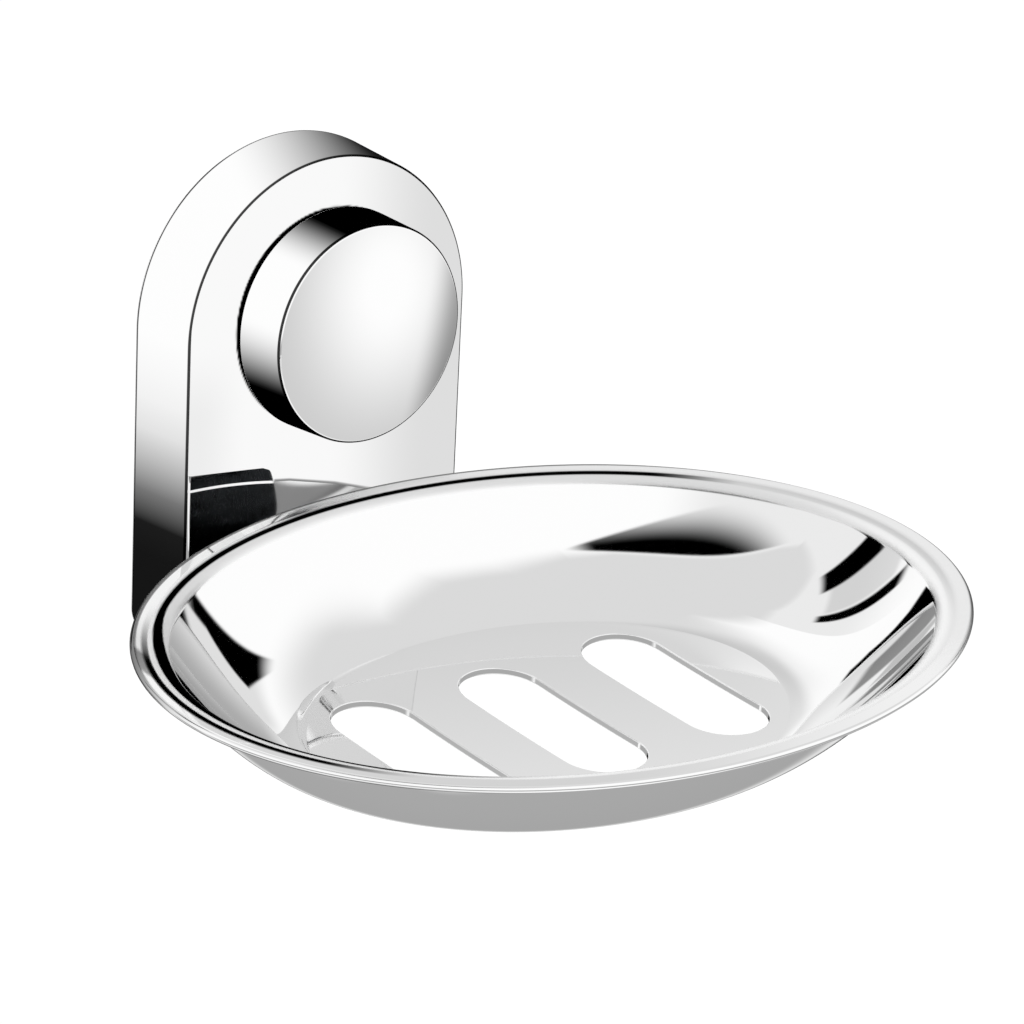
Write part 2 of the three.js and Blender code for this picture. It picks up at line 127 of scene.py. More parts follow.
def make_piece(name, patches, material, body, replaced):
    """A closed mesh from patches, in millimetres, that rides on a body in place of CAD nodes."""
    points, normals, triangles, quads = weld(patches)
    fan = np.concatenate([triangles, quads[:, [0, 1, 2]], quads[:, [0, 2, 3]]])
    a, b, c = (points[fan[:, i]] for i in range(3))
    volume = np.einsum("ij,ij->i", a, np.cross(b, c)).sum() / 6
    if volume < 0:
        triangles, quads, normals = triangles[:, ::-1], quads[:, ::-1], -normals
    mesh = bpy.data.meshes.new(name)
    mesh.from_pydata((points * MM).tolist(), [], triangles.tolist() + quads.tolist())
    mesh.shade_smooth()
    mesh.normals_split_custom_set_from_vertices(normals.tolist())
    mesh.materials.append(material)
    piece = new_object(name, mesh)
    if body:
        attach(piece, body)
    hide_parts(*replaced)
    print(f"{name}: {len(fan)} triangles, {abs(volume) / 1000:.2f} cm3")
    return piece


# %% [markdown]
# ## Paths with rounded corners
# No real edge is perfectly sharp. A plated edge has a radius of a few tenths of a millimetre,
# and it draws the bright and dark lines that tell the eye where a form ends. So each outline
# is a path of straight lines and arcs. It also gives its direction at each point, from which
# the normals follow.


# %% Rounded path
def rounded_path(corners, steps=6):
    """Points and directions of an open path through corners of (a, b, radius). An arc touches
    both its lines at radius times the tangent of half the turn from the corner."""
    places = np.array([corner[:2] for corner in corners], float)
    legs = unit(np.diff(places, axis=0))
    points, ways = [places[:1]], [legs[:1]]
    for i in range(1, len(corners) - 1):
        into, away, radius = legs[i - 1], legs[i], corners[i][2]
        turn = math.atan2(into[0] * away[1] - into[1] * away[0], into @ away)
        angles = np.linspace(0, turn, steps + 1)[:, None]
        left = np.array([-into[1], into[0]])
        way = np.cos(angles) * into + np.sin(angles) * left
        side = np.sign(turn) * radius
        centre = places[i] - into * radius * math.tan(abs(turn) / 2) + side * left
        points.append(centre - side * np.stack([-way[:, 1], way[:, 0]], axis=1))
        ways.append(way)
    points.append(places[-1:])
    ways.append(legs[-1:])
    return np.concatenate(points), np.concatenate(ways)


def turned_patch(points, ways, steps, across=0.0, up=0.0):
    """A path of (radius, distance from the wall) turned about a line along Y. The normal is the
    path's direction turned a quarter."""
    angle = np.linspace(0, 2 * math.pi, steps, endpoint=False)
    around = np.stack([np.cos(angle), np.zeros(steps), np.sin(angle)], axis=1)
    axis = np.array([0.0, -1.0, 0.0])
    centre = np.array([across, 0.0, up])
    places = points[:, :1, None] * around + points[:, 1, None, None] * axis + centre
    normals = ways[:, 1, None, None] * around - ways[:, :1, None] * axis
    return grid_patch(places, normals)


# %% [markdown]
# ## Colours and nodes
# Colours are written as sRGB hex values, as a colour picker shows them, and one function turns
# them to the linear values that Blender's shaders take. One small function adds a node with
# its settings and links.


# %% Colours and nodes
def linear(hexes):
    """sRGB hex to linear: up to 0.04045 divided by 12.92, and above it ((c + 0.055) / 1.055) to
    the power 2.4."""
    channels = [int(hexes[i : i + 2], 16) / 255 for i in (0, 2, 4)]
    values = (c / 12.92 if c <= 0.04045 else ((c + 0.055) / 1.055) ** 2.4 for c in channels)
    return (*values, 1.0)


def add(tree, kind, inputs=None, **settings):
    """Adds a node with its settings; each input takes a value or a link from another socket."""
    node = tree.nodes.new(kind)
    for key, value in settings.items():
        setattr(node, key, value)
    for key, value in (inputs or {}).items():
        if isinstance(value, bpy.types.NodeSocket):
            tree.links.new(value, node.inputs[key])
        else:
            node.inputs[key].default_value = value
    return node


def combine(tree, operation, first, second):
    """Two values put together by a maths node."""
    return add(tree, "ShaderNodeMath", {0: first, 1: second}, operation=operation).outputs[0]


def point_value(tree, key):
    """The value that a mesh carries at its points under a key."""
    return add(tree, "ShaderNodeAttribute", attribute_name=key).outputs["Fac"]


def two_tone(tree, factor, start, end):
    """A colour that goes from one sRGB hex to another with a factor."""
    mixed = add(tree, "ShaderNodeMix", {"Factor": factor}, data_type="RGBA")
    mixed.inputs["A"].default_value = linear(start)
    mixed.inputs["B"].default_value = linear(end)
    return mixed.outputs["Result"]


def add_bump(tree, shader, height, strength, depth_mm):
    """Lets a height bend a shader's normal."""
    values = {"Height": height, "Strength": strength, "Distance": depth_mm * MM}
    bump = add(tree, "ShaderNodeBump", values)
    tree.links.new(bump.outputs[0], shader.inputs["Normal"])


def new_material(name, **values):
    """A material with one Principled BSDF whose plain values are set on its own sockets."""
    material = bpy.data.materials.new(name)
    material.use_nodes = True
    shader = material.node_tree.nodes["Principled BSDF"]
    for key, value in values.items():
        shader.inputs[key.replace("_", " ")].default_value = value
    return material, material.node_tree, shader


def noise_on_object(tree, size_mm, stretch=(1, 1, 1), detail=3.0):
    """Noise whose lumps are size_mm across, on Object coordinates, drawn out by stretch."""
    place = add(tree, "ShaderNodeTexCoord").outputs["Object"]
    if stretch != (1, 1, 1):
        shares = tuple(1 / s for s in stretch)
        place = add(tree, "ShaderNodeMapping", {"Vector": place, "Scale": shares}).outputs[0]
    return add(
        tree, "ShaderNodeTexNoise", {"Vector": place, "Scale": 1 / (size_mm * MM), "Detail": detail}
    ).outputs["Fac"]


def spread(tree, source, low, high):
    """The middle of a noise, 0.35 to 0.65, spread between two values."""
    return add(
        tree,
        "ShaderNodeMapRange",
        {"Value": source, "From Min": 0.35, "From Max": 0.65, "To Min": low, "To Max": high},
    ).outputs[0]


# %% [markdown]
# ## Chrome on plastic
# The housing and the knob's cap are moulded ABS with a bright chrome plate. The plate itself
# is a clean mirror. What gives it away as plated plastic is a faint softness that comes and
# goes over a few millimetres, and a waviness far too shallow to feel.

# %% Chrome plated ABS
plated_abs, tree, shader = new_material(
    "chrome_plated_abs", Base_Color=linear("F7F7F7"), Metallic=1.0
)
haze = spread(tree, noise_on_object(tree, 7.0), 0.02, 0.05)
tree.links.new(haze, shader.inputs["Roughness"])
ripple = noise_on_object(tree, 16.0, detail=1.0)
add_bump(tree, shader, ripple, 0.1, 0.02)

# %% [markdown]
# ## Polished steel
# The dish is pressed from steel sheet, buffed and plated. Buffing leaves hairlines along the
# wheel's way. They are finer than a pixel, so they are drawn as a slight change of roughness,
# a few millimetres long and under a millimetre wide. The turn under the lip is left satin. Its
# dark line and thin dark outlines along the rim are a painted reflection in the sheet's colour,
# so they stay under any light. Both are read from the mesh.

# %% Polished steel
polished_steel, tree, shader = new_material("polished_steel_sheet", Metallic=1.0)
hairlines = spread(tree, noise_on_object(tree, 0.8, stretch=(9, 1, 1)), 0.012, 0.035)
SATIN = 0.3
extra = combine(tree, "MULTIPLY", point_value(tree, "unbuffed"), SATIN)
rough = combine(tree, "ADD", hairlines, extra)
tree.links.new(rough, shader.inputs["Roughness"])
# Painted reflection: the sheet's colour and specular tint go near black along its dark lines.
sheet_tone = two_tone(tree, point_value(tree, "painted_reflection_lines"), "F7F7F7", "0A0A0A")
tree.links.new(sheet_tone, shader.inputs["Base Color"])
tree.links.new(sheet_tone, shader.inputs["Specular Tint"])

# %% [markdown]
# ## Plain steel
# The bracket, screws, nuts, stud and clip are zinc plated steel, which is satin and a little
# blue. A rolled strip shows fine lines along its length, and the zinc darkens in patches. The
# bracket's strip is coloured near black as painted shade, the dark under the dish.

# %% Zinc plated steel
def zinc_plated(name, dark, light):
    """Satin steel whose tone drifts between two colours and whose roughness follows its grain."""
    material, tree, shader = new_material(name, Metallic=1.0)
    grain = noise_on_object(tree, 0.5, stretch=(1, 6, 6))
    tree.links.new(spread(tree, grain, 0.24, 0.38), shader.inputs["Roughness"])
    patches = two_tone(tree, noise_on_object(tree, 11.0), dark, light)
    tree.links.new(patches, shader.inputs["Base Color"])
    return material


zinc_steel = zinc_plated("zinc_plated_steel", "8E9397", "A6ABAF")
# Painted shade: zinc plated steel coloured near black for the bracket, standing in for the dark
# under the dish.
painted_shade_steel = zinc_plated("zinc_steel_painted_dark_as_shade", "26282A", "303234")

# %% [markdown]
# ## Moulded plastic
# The back frame and the knob's core are grey ABS with the fine spark texture of a mould, about
# 0.3 mm between its pits, which breaks up the highlight.

# %% Grey moulded ABS
grey_abs, tree, shader = new_material("grey_moulded_abs", IOR=1.5)
pits = noise_on_object(tree, 0.3, detail=2.0)
add_bump(tree, shader, pits, 0.35, 0.05)
tree.links.new(spread(tree, pits, 0.45, 0.6), shader.inputs["Roughness"])
clouds = two_tone(tree, noise_on_object(tree, 14.0), "6A6E71", "74787B")
tree.links.new(clouds, shader.inputs["Base Color"])

# %% [markdown]
# ## Brass, nylon and rubber
# The knob's nut is turned brass with fine feed marks. The washer is natural nylon, milky and
# slightly see-through at its edge. The wall bumpers are matt black rubber with a dusty bloom.

# %% Brass, nylon and rubber
turned_brass, tree, shader = new_material(
    "turned_brass", Base_Color=linear("C8A250"), Metallic=1.0
)
feed_marks = noise_on_object(tree, 0.3, stretch=(1, 8, 1))
tree.links.new(spread(tree, feed_marks, 0.2, 0.34), shader.inputs["Roughness"])

natural_nylon, tree, shader = new_material(
    "natural_nylon", Base_Color=linear("F1EEE4"), IOR=1.53, Subsurface_Weight=0.2,
)
shader.inputs["Subsurface Radius"].default_value = (1.0, 0.9, 0.7)
shader.inputs["Subsurface Scale"].default_value = 1.0 * MM
tree.links.new(spread(tree, noise_on_object(tree, 1.5), 0.35, 0.5), shader.inputs["Roughness"])

black_rubber, tree, shader = new_material("black_rubber", IOR=1.5)
bloom = noise_on_object(tree, 2.5)
dust = two_tone(tree, bloom, "232527", "313335")
tree.links.new(dust, shader.inputs["Base Color"])
tree.links.new(spread(tree, bloom, 0.65, 0.85), shader.inputs["Roughness"])

# %% [markdown]
# ## Soft vinyl
# The suction cup is soft clear vinyl with a frosted back and a faint blue tint. Light passes
# through it and is blurred, so the frame's edge behind it still shows as a shadow.

# %% Clear vinyl
clear_vinyl, tree, shader = new_material(
    "clear_soft_vinyl", Base_Color=linear("DCE6EA"), IOR=1.5, Transmission_Weight=0.85
)
skin = noise_on_object(tree, 1.2)
tree.links.new(spread(tree, skin, 0.12, 0.26), shader.inputs["Roughness"])
add_bump(tree, shader, skin, 0.2, 0.05)

# %% [markdown]
# ## The arched housing
# The housing is a thin moulded shell: a flat arched face, walls that widen a little towards
# the wall so that the moulding leaves its tool, and a hole for the knob's neck. One path of
# inset and distance from the wall runs round the shell's section, and an arched outline
# carries it. An outline inset by some distance is the same outline moved along its normals.
# The CAD solid's screw bosses and bolt holes are left out.

# %% Sizes of the housing
FACE_HALF, ARCH_DROP, FOOT_DROP, FOOT_CORNER = 28.5, 1.0, 56.0, 6.0
RIM_GAP, FACE_FROM_WALL, HOUSING_WALL = 0.6, 15.0, 2.0
SIDE_DRAFT, FACE_ROUND, NECK_BORE = 1.1, 0.8, 6.4


def arch_outline():
    """Points and outward directions of the arched face: a half circle, two sides and a foot
    with quarter circles at its corners."""
    foot = ARCH_DROP - FOOT_DROP + FOOT_CORNER
    inner = FACE_HALF - FOOT_CORNER
    arcs = []
    for centre, radius, start, end, steps in (
        ((0, 0), FACE_HALF, 0, math.pi, 120),
        ((-inner, foot), FOOT_CORNER, math.pi, 1.5 * math.pi, 16),
        ((inner, foot), FOOT_CORNER, 1.5 * math.pi, 2 * math.pi, 16),
    ):
        angle = np.linspace(start, end, steps + 1)
        way = np.stack([np.cos(angle), np.sin(angle)], axis=1)
        arcs.append((np.array(centre) + radius * way, way))
    points, ways = [], []
    for (here, way), (there, _) in zip(arcs, arcs[1:] + arcs[:1]):
        share = np.linspace(0, 1, 10)[1:-1, None]
        points += [here, here[-1] + share * (there[0] - here[-1])]
        ways += [way, np.repeat(way[-1:], 8, axis=0)]
    return np.concatenate(points) - [0, ARCH_DROP], np.concatenate(ways)


def arch_rings(inset, distance):
    """The outline inset by a distance. Towards the wall it widens about the arch's centre in
    proportion to how far it lies behind the face; below that centre only its width does."""
    outline, ways = arch_outline()
    flat = outline - inset[:, None, None] * ways
    share = (FACE_FROM_WALL - distance) / (FACE_FROM_WALL - RIM_GAP)
    wider = (1 + SIDE_DRAFT * share / (FACE_HALF - inset))[:, None]
    rise = flat[..., 1] + ARCH_DROP
    up = np.where(rise > 0, rise * wider, rise) - ARCH_DROP
    return np.stack([flat[..., 0] * wider, -distance[:, None] + 0 * up, up], axis=-1)


def arch_patch(points, ways):
    """Rings of the outline along a path, with normals across the two directions of travel."""
    rings = arch_rings(points[:, 0], points[:, 1])
    tiny = 1e-4 * ways
    ahead = arch_rings(points[:, 0] + tiny[:, 0], points[:, 1] + tiny[:, 1])
    behind = arch_rings(points[:, 0] - tiny[:, 0], points[:, 1] - tiny[:, 1])
    _, out = arch_outline()
    along = np.stack([-out[:, 1], 0 * out[:, 0], out[:, 0]], axis=1)
    return rings, unit(np.cross(ahead - behind, along))


# %% Housing
path, ways = rounded_path(
    [
        (4.0, FACE_FROM_WALL - HOUSING_WALL, 0),
        (HOUSING_WALL, FACE_FROM_WALL - HOUSING_WALL, 1.0),
        (HOUSING_WALL, RIM_GAP, 0.3),
        (0.0, RIM_GAP, 1.3),
        (0.0, FACE_FROM_WALL, FACE_ROUND),
        (3.0, FACE_FROM_WALL, 0),
    ],
    steps=8,
)
shell, shell_normals = arch_patch(path, ways)
spokes = unit(shell[-1] * [1, 0, 1])
edge, edge_ways = rounded_path(
    [
        (NECK_BORE + 0.6, FACE_FROM_WALL, 0),
        (NECK_BORE, FACE_FROM_WALL, 0.3),
        (NECK_BORE, FACE_FROM_WALL - HOUSING_WALL, 0.3),
        (NECK_BORE + 0.6, FACE_FROM_WALL - HOUSING_WALL, 0),
    ]
)
bore = edge[:, :1, None] * spokes - edge[:, 1, None, None] * [0, 1, 0]
bore_normals = edge_ways[:, 1, None, None] * spokes + edge_ways[:, :1, None] * [0, 1, 0]
face = np.concatenate([shell[-1:], bore, shell[:1]])
face_normals = np.concatenate([bore_normals[:1], bore_normals, bore_normals[-1:]])
shell_side = np.sign(shell_normals[-1, 0, 1])
face_side = np.sign(face_normals[0, 0, 1])
make_piece(
    "housing_shell",
    [grid_patch(shell, shell_normals), grid_patch(face, face_normals * shell_side * face_side)],
    plated_abs,
    "holder",
    ["housing"],
)

# %% [markdown]
# ## The knob's cap
# The cap is turned about the knob's axis: a face with a shallow crown, a rounded edge, a side
# that widens towards its base, and a hollow inside. The crown's height falls with the square
# of the radius, so its slope grows evenly and the face works as a gently bulging mirror.

# %% Knob cap
KNOB_RADIUS, KNOB_BASE, CAP_BASE, CAP_FACE = 18.6, 19.1, 15.7, 25.8
CROWN, KNOB_EDGE, CAP_WALL = 0.8, 0.7, 1.6


def crowned_path(reach, face):
    """From the axis out to a radius on a face that falls by the crown times radius squared."""
    radius = np.linspace(0, reach, 40)
    points = np.stack([radius, face + CROWN * (1 - (radius / KNOB_RADIUS) ** 2)], axis=1)
    ways = unit(np.stack([np.ones(40), -2 * CROWN * radius / KNOB_RADIUS**2], axis=1))
    return points, ways


crown, crown_ways = crowned_path(KNOB_RADIUS - KNOB_EDGE, CAP_FACE)
inner_reach = KNOB_RADIUS - CAP_WALL - 1.2
ceiling, ceiling_ways = crowned_path(inner_reach, CAP_FACE - CAP_WALL)
end, slope = crown[-1], crown_ways[-1]
corner = end + slope * (KNOB_RADIUS - end[0]) / slope[0]
skirt, skirt_ways = rounded_path(
    [
        (*end, 0),
        (*corner, KNOB_EDGE * 0.9),
        (KNOB_BASE, CAP_BASE, 0.25),
        (KNOB_BASE - CAP_WALL, CAP_BASE, 0.25),
        (KNOB_RADIUS - CAP_WALL, ceiling[-1, 1], 1.0),
        (*ceiling[-1], 0),
    ],
    steps=8,
)
cap_path = np.concatenate([crown, skirt, ceiling[::-1]])
cap_ways = np.concatenate([crown_ways, skirt_ways, -ceiling_ways[::-1]])
make_piece(
    "knob_cap_shell",
    [turned_patch(cap_path, cap_ways, 192)],
    plated_abs,
    "knob",
    ["knob_cap"],
)

# %% [markdown]
# ## The oval dish
# The dish is one pressed sheet. Its section along the short axis is a floor that sags like a
# shallow parabola, a wall that steepens as a power of the way up, and an arc that turns over
# into a flat lip. Rings of that section are drawn out along X to an oval. The floor has three
# slots with round ends, so it is a triangulated sheet of points around their outlines, and
# the wall is a grid of rings that starts where the floor ends.

# %% Sizes of the dish
LONG_HALF, SHORT_HALF, DISH_DEPTH, FLOOR_SAG = 74.6, 53.3, 18.4, 0.8
FLOOR_HALF, SHEET, LIP_WIDTH, LIP_ROUND = 30.5, 1.2, 2.4, 3.5
WALL_ANGLE, DISH_TILT = math.radians(60), math.radians(4.6)
DISH_PLACE = np.array([0.0, -77.6, -31.5])
SLOT_LENGTH, SLOT_WIDTH, SLOT_SPACING, SLOT_EDGE = 39.2, 14.7, 26.0, 0.22
LIP_START = SHORT_HALF - LIP_WIDTH
LENGTHENING = LONG_HALF - SHORT_HALF
WALL_TOP = LIP_START - LIP_ROUND * math.sin(WALL_ANGLE)
WALL_RUN = WALL_TOP - FLOOR_HALF
WALL_RISE = DISH_DEPTH - LIP_ROUND * (1 - math.cos(WALL_ANGLE))
WALL_POWER = math.tan(WALL_ANGLE) * WALL_RUN / WALL_RISE
FLOOR_SLOPE = 2 * FLOOR_SAG / FLOOR_HALF
AROUND = np.linspace(0, 2 * math.pi, 320, endpoint=False)


def wall_height(radius):
    """Height and slope of the wall: a power of the share of the way up, plus the floor's own
    slope fading out, so that floor and wall meet without a crease."""
    share = (radius - FLOOR_HALF) / WALL_RUN
    fade = FLOOR_SLOPE * WALL_RUN
    height = WALL_RISE * share**WALL_POWER - DISH_DEPTH + fade * share * (1 - share) ** 2
    slope = WALL_RISE * WALL_POWER * share ** (WALL_POWER - 1) / WALL_RUN
    return height, slope + FLOOR_SLOPE * (1 - share) * (1 - 3 * share)


def oval_patch(points, ways):
    """Rings of (radius, height), drawn out along X by a share of the radius up to the lip and by
    a fixed length beyond. The normal is across the ring and the path's direction."""
    radius, height = points[:, :1], points[:, 1:]
    reach = radius + LENGTHENING * np.minimum(radius / LIP_START, 1)
    rate = ways[:, :1] * np.where(radius < LIP_START, 1 + LENGTHENING / LIP_START, 1)
    cos, sin = np.cos(AROUND), np.sin(AROUND)
    places = np.stack([reach * cos, radius * sin, height + 0 * cos], axis=-1)
    normals = np.stack(
        [
            -ways[:, 1:] * radius * cos,
            -ways[:, 1:] * reach * sin,
            rate * radius * cos**2 + ways[:, :1] * reach * sin**2,
        ],
        axis=-1,
    )
    return places, unit(normals)


# %% Wall and lip of the dish
radius = FLOOR_HALF + WALL_RUN * np.linspace(0, 1, 48)
height, slope = wall_height(radius)
wall = np.stack([radius, height], axis=1)
wall_ways = unit(np.stack([np.ones_like(slope), slope], axis=1))
turn = np.linspace(WALL_ANGLE, 0, 24)[1:]
rounding = np.stack(
    [LIP_START - LIP_ROUND * np.sin(turn), LIP_ROUND * np.cos(turn) - LIP_ROUND], axis=1
)
rounding_ways = np.stack([np.cos(turn), np.sin(turn)], axis=1)
top = np.concatenate([wall, rounding])
top_ways = np.concatenate([wall_ways, rounding_ways])
under_ways = top_ways[::-1]
under = top + SHEET * np.stack([top_ways[:, 1], -top_ways[:, 0]], axis=1)
lip = np.linspace(LIP_START, SHORT_HALF - 0.6, 9)[1:]
top = np.concatenate([top, np.stack([lip, 0 * lip], axis=1)])
top_ways = np.concatenate([top_ways, np.stack([1 + 0 * lip, 0 * lip], axis=1)])
rim, rim_ways = rounded_path(
    [
        (*top[-1], 0),
        (SHORT_HALF, 0.0, 0.58),
        (SHORT_HALF, -SHEET, 0.58),
        (*under[-1], 0),
    ],
    steps=7,
)
section = np.concatenate([top, rim, under[::-1]])
section_ways = np.concatenate([top_ways, rim_ways, -under_ways])
rings, ring_normals = oval_patch(section, section_ways)
print(f"the dish's section has {len(section)} points and {len(AROUND)} sides")


# %% Floor and slots of the dish
def floor_surface(x, y):
    """Height and normal of the sagging floor: height grows with the square of the oval radius."""
    drawn = 1 + LENGTHENING / LIP_START
    square = (x / drawn) ** 2 + y**2
    height = -DISH_DEPTH - FLOOR_SAG * (1 - square / FLOOR_HALF**2)
    rate = 2 * FLOOR_SAG / FLOOR_HALF**2
    normal = unit(np.stack([-rate * x / drawn**2, -rate * y, np.ones_like(x)], axis=-1))
    return height, normal


def slot_outline(across, steps=28):
    """A slot's outline and outward directions: two half circles joined by straight sides."""
    radius = SLOT_WIDTH / 2
    straight = SLOT_LENGTH / 2 - radius
    angle = np.linspace(0, math.pi, steps + 1)
    way = np.stack([np.cos(angle), np.sin(angle)], axis=1)
    share = np.linspace(straight, -straight, 12)[1:-1]
    left = np.stack([-radius + 0 * share, share], axis=1)
    points = np.concatenate(
        [radius * way + [0, straight], left, -radius * way - [0, straight], -left]
    )
    ways = np.concatenate([way, 0 * left + [-1, 0], -way, 0 * left + [1, 0]])
    return points + [across, 0], ways


slots = [slot_outline(i * SLOT_SPACING) for i in (-1, 0, 1)]
outlines = [rings[0, :, :2], *(points + SLOT_EDGE * way for points, way in slots)]
step = 2.6
grid_x, grid_y = np.meshgrid(np.arange(-44, 44, step), np.arange(-31, 31, step * 0.87))
grid_x = grid_x + np.where(np.arange(len(grid_x))[:, None] % 2 == 1, step / 2, 0)
inner = np.stack([grid_x.ravel(), grid_y.ravel()], axis=1)


def slot_distance(points, across):
    """How far points lie outside a slot: distance to its middle line, less half its width."""
    straight = (SLOT_LENGTH - SLOT_WIDTH) / 2
    off = points[:, 1] - np.clip(points[:, 1], -straight, straight)
    return np.hypot(points[:, 0] - across, off) - SLOT_WIDTH / 2


drawn = 1 + LENGTHENING / LIP_START
clear = np.hypot(inner[:, 0] / drawn, inner[:, 1]) < FLOOR_HALF - 1
for across in (-SLOT_SPACING, 0, SLOT_SPACING):
    clear &= slot_distance(inner, across) > 1.2
flat = np.concatenate([*outlines, inner[clear]])
edges, start = [], 0
for outline in outlines:
    count = len(outline)
    edges += [(start + i, start + (i + 1) % count) for i in range(count)]
    start += count
_, _, triangles, origins, _, _ = delaunay_2d_cdt([Vector(p) for p in flat], edges, [], 0, 1e-7)
own = np.array([origin[0] for origin in origins])
triangles = own[np.array([t for t in triangles if len(t) == 3])]
middles = flat[triangles].mean(axis=1)
kept = np.ones(len(triangles), bool)
for across in (-SLOT_SPACING, 0, SLOT_SPACING):
    kept &= slot_distance(middles, across) > 1.2 * SLOT_EDGE
triangles = triangles[kept]
floor_height, floor_normal = floor_surface(flat[:, 0], flat[:, 1])
floor_top = np.column_stack([flat, floor_height])
floor_under = np.column_stack([flat, floor_height - SHEET])
count = len(AROUND)
floor_top[:count], floor_under[:count] = rings[0], rings[-1]
floor_patches = [
    (floor_top, floor_normal, triangles),
    (floor_under, -floor_normal, triangles[:, ::-1]),
]
slot_path, slot_ways = rounded_path(
    [(SLOT_EDGE, 0, 0), (0, 0, SLOT_EDGE), (0, -SHEET, SLOT_EDGE), (SLOT_EDGE, -SHEET, 0)], steps=4
)
for points, way in slots:
    plan = points + slot_path[:, :1, None] * way
    plan[0] = plan[-1] = points + SLOT_EDGE * way
    level, normal = floor_surface(plan[..., 0], plan[..., 1])
    places = np.concatenate([plan, (level + slot_path[:, 1:])[..., None]], axis=-1)
    across = np.concatenate([way, 0 * way[:, :1]], axis=1)
    lean = slot_ways[:, 1, None, None] * across - slot_ways[:, :1, None] * normal
    floor_patches.append(grid_patch(places[::-1], unit(lean[::-1])))
print(f"the floor has {len(triangles)} triangles a side around {len(slots)} slots")

# %% Dish
tilt = np.array(Matrix.Rotation(DISH_TILT, 3, "X"))


def placed(patch):
    """A patch of the dish leaned back about X and moved to its place in front of the holder."""
    points, normals, faces = patch
    return points @ tilt.T + DISH_PLACE, normals @ tilt.T, faces


dish = make_piece(
    "dish_sheet",
    [placed(patch) for patch in [grid_patch(rings, ring_normals), *floor_patches]],
    polished_steel,
    "holder",
    ["dish"],
)

# %% [markdown]
# ## The satin turn and its dark line
# Both are values at the dish's points. They are laid out by how steep the turn is there, in
# degrees, and by the place round the oval, in degrees from the right towards the wall. The
# dark line stands in for a reflection that the photograph shows.


# %% Satin turn and dark line
def ramp(value, start, end):
    """0 at start, 1 at end and a smooth step between; the two may be in either order."""
    share = np.clip((value - start) / (end - start), 0, 1)
    return share * share * (3 - 2 * share)


EDGE_DARK, FAINT_LINE = 0.7, 0.12
flat_dish = np.array([v.co for v in dish.data.vertices]) / MM
flat_dish = (flat_dish - DISH_PLACE) @ tilt
across = np.hypot(flat_dish[:, 0] / drawn, flat_dish[:, 1]) / LIP_START
beyond = (across - 1) * np.hypot(flat_dish[:, 0], flat_dish[:, 1]) / across
radius = LIP_START + np.where(across < 1, LIP_START * (across - 1), beyond)
sine = np.clip((LIP_START - radius) / LIP_ROUND, -1, 1)
turned = np.degrees(np.arcsin(sine))
on_top = flat_dish[:, 2] > LIP_ROUND * (np.cos(np.radians(turned)) - 1) - SHEET / 2
on_top |= turned < 0
round_dish = np.degrees(np.arctan2(flat_dish[:, 1], flat_dish[:, 0] / drawn)) % 360
at_left = ramp(round_dish, 140, 165) * ramp(round_dish, 222, 205)
strength = ramp(round_dish, 27, 46) * ramp(round_dish, 240, 212)
faint = ramp(round_dish, 46, 27) + ramp(round_dish, 320, 345)
strength = np.maximum(strength, FAINT_LINE * faint)
line_in, line_out = 11 + 6 * at_left, 25 + 25 * at_left
# Painted reflection: a dark band in the turn under the lip along the back and left, faint at the
# right, and at the left a second band where the lip meets the turn.
painted_reflection_lines = (
    strength
    * ramp(turned, line_in - 2, line_in + 1)
    * ramp(turned, line_out + 2, line_out - 1)
)
painted_reflection_lines += at_left * ramp(turned, -13, -10) * ramp(turned, 5, 2)
# Painted reflection: a thin dark outline along the rim's outer edge at the right and back.
edge_from = SHORT_HALF - 0.5 - 0.35 * ramp(round_dish, 20, 60) * ramp(round_dish, 175, 150)
away_from_front = ramp(round_dish, 190, 160) + ramp(round_dish, 300, 330)
painted_reflection_lines += EDGE_DARK * ramp(radius, edge_from - 0.12, edge_from + 0.12) * away_from_front
painted_reflection_lines *= on_top
at_right = ramp(round_dish, 110, 85) + ramp(round_dish, 290, 320)
satin_turn = np.maximum(ramp(turned, 0, 6), at_right * ramp(turned, -60, -50))
unbuffed = on_top * ramp(turned, 60, 50) * satin_turn
# Painted reflection: a thin dark line along the lip's lower edge at the left.
low_edge = ramp(flat_dish[:, 2], -0.7, -0.95) * ramp(radius, SHORT_HALF - 0.7, SHORT_HALF - 0.5)
painted_reflection_lines += EDGE_DARK * low_edge * ramp(round_dish, 140, 160) * ramp(round_dish, 240, 215)
for key, values in (("painted_reflection_lines", painted_reflection_lines), ("unbuffed", unbuffed)):
    set_point_values(dish.data, key, np.clip(values, 0, 1))
print(f"painted reflection lines: {(painted_reflection_lines > 0.5).sum()} points")

# %% [markdown]
# ## The suction cup
# The cup is turned too. Its lip lies on the wall, and it rides on no body.

# %% Suction cup
CUP = [
    (0, 1.2, 0),
    (21.5, 0, 4.0),
    (24.5, 0, 0.3),
    (24.5, 0.7, 0.3),
    (23.8, 1.4, 0.5),
    (14, 2.3, 5.0),
    (6.5, 3.1, 0.6),
    (6.5, 6.2, 0.4),
    (3.15, 6.2, 0.2),
    (3.15, 4.6, 0.1),
    (5.0, 4.6, 0.2),
    (5.0, 2.8, 0.2),
    (0, 2.8, 0),
]
cup_path, cup_ways = rounded_path(CUP)
suction_cup = make_piece(
    "suction_cup_bell",
    [turned_patch(cup_path, cup_ways, 120)],
    clear_vinyl,
    None,
    ["suction_cup"],
)
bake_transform(suction_cup)

# %% [markdown]
# ## The dish's bracket
# A strip of steel is bolted to the housing's face, bends forward and lies under the dish's
# floor, where it is welded. It is a flat section with rounded edges carried along a bent line.
# At both ends the section shrinks along a quarter circle, which rounds the cut ends. The CAD
# solid's bolt holes are left out, so the screws pass through the strip.

# %% Bracket
BRACKET_HALF, STRIP, BEND, LEG_FROM_WALL, STRIP_EDGE = 12.0, 2.0, 2.5, 16.3, 0.4


